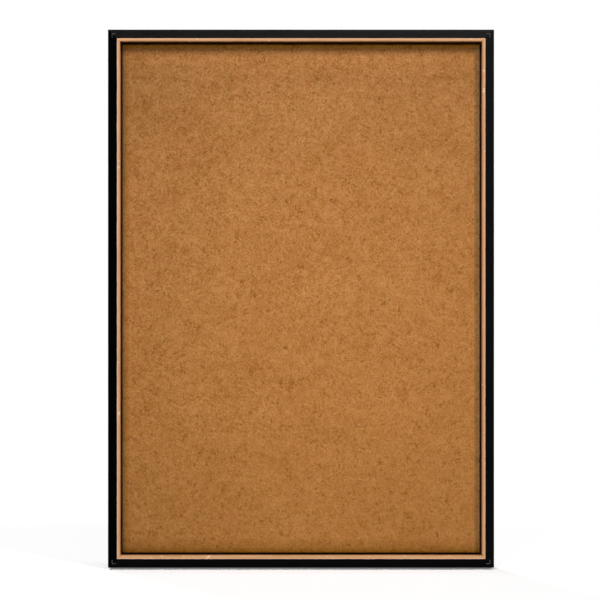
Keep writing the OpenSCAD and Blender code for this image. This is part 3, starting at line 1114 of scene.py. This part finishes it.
def head_profile(head_r, head_h):
    """(radius, y) of a screw's neck and its pan head, with its seat at y = 0."""
    side_h = HEAD_SIDE * head_h
    profile = [(SCREW_R - 0.25 * MM, -0.3 * MM), (SCREW_R, 0)]
    profile += [(head_r - inset, height) for inset, height in HEAD_UNDERSIDE]
    profile.append((head_r, side_h))
    for turn in arc(DOME_STEPS)[1:-1]:
        radius = head_r * math.cos(turn) ** DOME_FLATNESS
        profile.append((radius, side_h + (head_h - side_h) * math.sin(turn)))
    profile.append((0.05 * MM, head_h))
    return profile


def cross_rings(head_h):
    """Tapered cross that cuts the recess of a screw's head."""
    rings = []
    for y, size in ((head_h - RECESS_DEPTH, RECESS_TAPER), (head_h + 0.3 * MM, 1.12)):
        reach, wide = RECESS_L / 2 * size, RECESS_W / 2 * (0.5 + 0.5 * size)
        arm = [(reach, -wide), (reach, wide), (wide, wide)]
        ring = []
        for turn in arc(4, FULL_TURN)[:-1]:
            cosine, sine = math.cos(turn), math.sin(turn)
            ring += [(u * cosine - v * sine, y, u * sine + v * cosine) for u, v in arm]
        rings.append(ring)
    return rings


def make_screws(name, node, seat_y, steel, seed):
    """All screws of a node, as copies of one, each with its cross turned its own way."""
    boxes = solids(node)
    low, high = boxes[0]
    head_r, head_h, length = (high.x - low.x) / 2, high.y - seat_y, seat_y - low.y
    head = turned_rings(head_profile(head_r, head_h), 0, 0, SCREW_STEPS)
    pattern = Shape(thread_rings(length) + head).made("screw_pattern")
    carve(pattern, Shape(cross_rings(head_h)))
    faces = [tuple(face.vertices) for face in pattern.data.polygons]
    draw = np.random.default_rng(seed)
    screws = Shape()
    for low, high in boxes:
        x, z = centre_of(low, high)
        middle = Vector((x, seat_y, z))
        spin = Matrix.Rotation(draw.uniform(0, QUARTER_TURN), 3, "Y")
        screws.add([spin @ vertex.co + middle for vertex in pattern.data.vertices], faces)
    bpy.data.objects.remove(pattern)
    settle(screws.made(name), steel, node)


# -------------------- hangers

STRAP_T = 1.0 * MM
STRAP_JOGGLE = 3.5 * MM
STRAP_BEVEL = 0.12 * MM
# Steps of a strap's round foot, its straight part, its joggle and its eye
FOOT_STEPS = 7
STRAIGHT_STEPS = 10
JOGGLE_STEPS = 6
EYE_STEPS = 28
STRAP_HOLE_STEPS = 32
FOOT_TIP = 0.5 * MM
EYE_WRAP = math.radians(300)
RING_BEND_R = 2 * MM
# Steps of a ring's bar, each of its bends and its bow, and points round its wire
BAR_STEPS = 10
BEND_STEPS = 8
BOW_STEPS = 32
WIRE_STEPS = 16


def bevel_edges(piece, width):
    """Rounds a piece's sharp edges."""
    bevel = piece.modifiers.new("edges", "BEVEL")
    bevel.width = width
    bevel.segments = 2
    bevel.limit_method = "ANGLE"
    bevel.angle_limit = math.radians(50)
    apply_modifiers(piece)


def strap_stations(low, high, pivot_y, pivot_z, eye_r):
    """(y, z, normal y, normal z, half width) along a strap, from its round foot up and round the eye."""
    half_w = (high.x - low.x) / 2
    flat_y = low.y + STRAP_T / 2
    middle_r = eye_r + STRAP_T / 2
    stations = []
    for turn in arc(FOOT_STEPS):
        z = low.z + half_w * (1 - math.cos(turn))
        stations.append((flat_y, z, 1, 0, max(half_w * math.sin(turn), FOOT_TIP)))
    straight = pivot_z - STRAP_JOGGLE - (low.z + half_w)
    for height in arc(STRAIGHT_STEPS, straight)[1:]:
        stations.append((flat_y, low.z + half_w + height, 1, 0, half_w))
    near_y = pivot_y - middle_r
    for step in range(1, JOGGLE_STEPS):
        share = step / JOGGLE_STEPS
        ease = share * share * (3 - 2 * share)
        z = pivot_z - STRAP_JOGGLE * (1 - share)
        stations.append((flat_y + (near_y - flat_y) * ease, z, 1, 0, half_w))
    for turn in arc(EYE_STEPS, EYE_WRAP):
        away_y, away_z = -math.cos(turn), math.sin(turn)
        place = (pivot_y + middle_r * away_y, pivot_z + middle_r * away_z)
        stations.append((*place, -away_y, -away_z, half_w))
    return stations


def make_hanger(hand, zinc):
    strap_node, ring_node = hand + "_hanger_strap", hand + "_hanger_ring"
    low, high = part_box(strap_node)
    ring_low, ring_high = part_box(ring_node)
    wire_r = (ring_high.y - ring_low.y) / 2
    pivot_y, pivot_z = ring_low.y + wire_r, ring_high.z - wire_r
    middle_x = (low.x + high.x) / 2
    eye_r = high.z - pivot_z - STRAP_T
    thick = STRAP_T / 2
    rings = []
    for y, z, out_y, out_z, half_w in strap_stations(low, high, pivot_y, pivot_z, eye_r):
        corners = ((-half_w, -1), (half_w, -1), (half_w, 1), (-half_w, 1))
        rings.append([(middle_x + w, y + out_y * thick * s, z + out_z * thick * s) for w, s in corners])
    strap = Shape(rings).made("strap_" + hand)
    bevel_edges(strap, STRAP_BEVEL)
    holes = []
    for x, z, _ in SCREW_PLACES:
        if low.x < x < high.x and low.z < z < high.z:
            holes.append(screw_hole(x, z, low.y - CUT_PAST, low.y + 2 * CUT_PAST, STRAP_HOLE_STEPS))
    carve(strap, Shape(*holes))
    settle(strap, zinc, strap_node, angle=math.radians(40))
    make_ring(hand, ring_node, ring_low, ring_high, wire_r, zinc)


def ring_path(half_w, reach):
    """Middle line of a hanger's ring: (across, down) from the middle of its bar, all the way round."""
    bar = half_w - RING_BEND_R
    leg = reach - half_w
    points = [(-bar + along, 0.0) for along in arc(BAR_STEPS, 2 * bar)[:-1]]
    for turn in arc(BEND_STEPS)[:-1]:
        points.append((bar + RING_BEND_R * math.sin(turn), RING_BEND_R * (1 - math.cos(turn))))
    points += [(half_w, RING_BEND_R + along) for along in arc(2, leg - RING_BEND_R)[:-1]]
    for turn in arc(BOW_STEPS, math.pi):
        points.append((half_w * math.cos(turn), leg + half_w * math.sin(turn)))
    points.append((-half_w, (RING_BEND_R + leg) / 2))
    for turn in arc(BEND_STEPS)[:-1]:
        points.append((-bar - RING_BEND_R * math.cos(turn), RING_BEND_R * (1 - math.sin(turn))))
    return points


def make_ring(hand, node, low, high, wire_r, zinc):
    half_w = (high.x - low.x) / 2 - wire_r
    reach = high.z - low.z - 2 * wire_r
    middle_x, pivot_y, pivot_z = (low.x + high.x) / 2, low.y + wire_r, high.z - wire_r
    path = [Vector((middle_x + u, pivot_y, pivot_z - v)) for u, v in ring_path(half_w, reach)]
    back = Vector((0, 1, 0))
    turns = arc(WIRE_STEPS, FULL_TURN)[:-1]
    rings = []
    for index, point in enumerate(path):
        heading = (path[(index + 1) % len(path)] - path[index - 1]).normalized()
        aside = heading.cross(back)
        rings.append([point + wire_r * (aside * math.cos(turn) + back * math.sin(turn)) for turn in turns])
    wire = Shape()
    wire.add_rings(rings, closed_path=True)
    settle(wire.made("ring_" + hand), zinc, node, angle=math.radians(60))


# -------------------- pads

PAD_STEPS = 40
PAD_EDGE_R = 1.2 * MM
PAD_EDGE_STEPS = 6
# A pad's moulded foot, as how far in from its rim and how high, and how far in its side is
PAD_FOOT = ((0.25 * MM, 0), (0, 0.2 * MM), (0, 0.5 * MM), (0.3 * MM, 0.8 * MM))
PAD_WAIST = 0.45 * MM
# Its shallow dish, as a share of its radius and the depth there
PAD_DISH = ((0.5, 0.02 * MM), (0.42, 0.15 * MM), (0.34, 0.34 * MM), (0.2, 0.44 * MM), (0.02, 0.46 * MM))


def pad_profile(radius, height):
    """(radius, y) of a round bumper, from its foot to the middle of its dish."""
    profile = [(radius - inset, y) for inset, y in PAD_FOOT]
    profile.append((radius - PAD_WAIST, height - PAD_EDGE_R - 0.3 * MM))
    for turn in arc(PAD_EDGE_STEPS):
        out = radius - PAD_WAIST - PAD_EDGE_R * (1 - math.cos(turn))
        profile.append((out, height - PAD_EDGE_R * (1 - math.sin(turn))))
    return profile + [(radius * share, height - dish) for share, dish in PAD_DISH]


def make_pads():
    pads = []
    for low, high in solids("wall_pads"):
        profile = pad_profile((high.x - low.x) / 2, high.y - low.y)
        placed = [(radius, low.y + y) for radius, y in profile]
        pads.append(turned_rings(placed, *centre_of(low, high), PAD_STEPS))
    settle(Shape(*pads).made("bumpers"), rubber(), "wall_pads")


# -------------------- putting it together

add_camera()
add_floor()
add_world()
add_softbox("key_right", (0.78, -1, 1.2), 0.13, 0.39, 0.345)
add_softbox("key_left", (-0.36, -1, 1.2), 0.17, 0.39, 0.285)
add_softbox("front_soft", (0.12, -1, 0.3), 0.39, 0.22, 0.25)
add_softbox("back_light", (-0.5, 1, 0.8), 0.35, 0.35, 0.5, faces=(0, 1, 0))

make_frame()
make_strips()
nail_steel = painted_nail()
make_nails("front_v_nails", "front_corner_nails", FRONT_NAILS, NAIL_SUNK, 0, nail_steel)
make_nails("rear_v_nails", "rear_corner_nails", REAR_NAILS, 0, NAIL_SUNK, nail_steel)
make_panel()
black_steel = worn_metal("black_screw", (0.03, 0.03, 0.032), (0.055, 0.042, 0.034), 0.42)
zinc = worn_metal("zinc", (0.55, 0.54, 0.51), (0.43, 0.42, 0.39), 0.38)
make_screws("panel_screw_set", "panel_screws", REAR_Y, black_steel, 11)
make_screws("hanger_screw_set", "hanger_screws", REAR_Y + STRAP_T, zinc, 12)
for hand in ("left", "right"):
    make_hanger(hand, zinc)
make_pads()
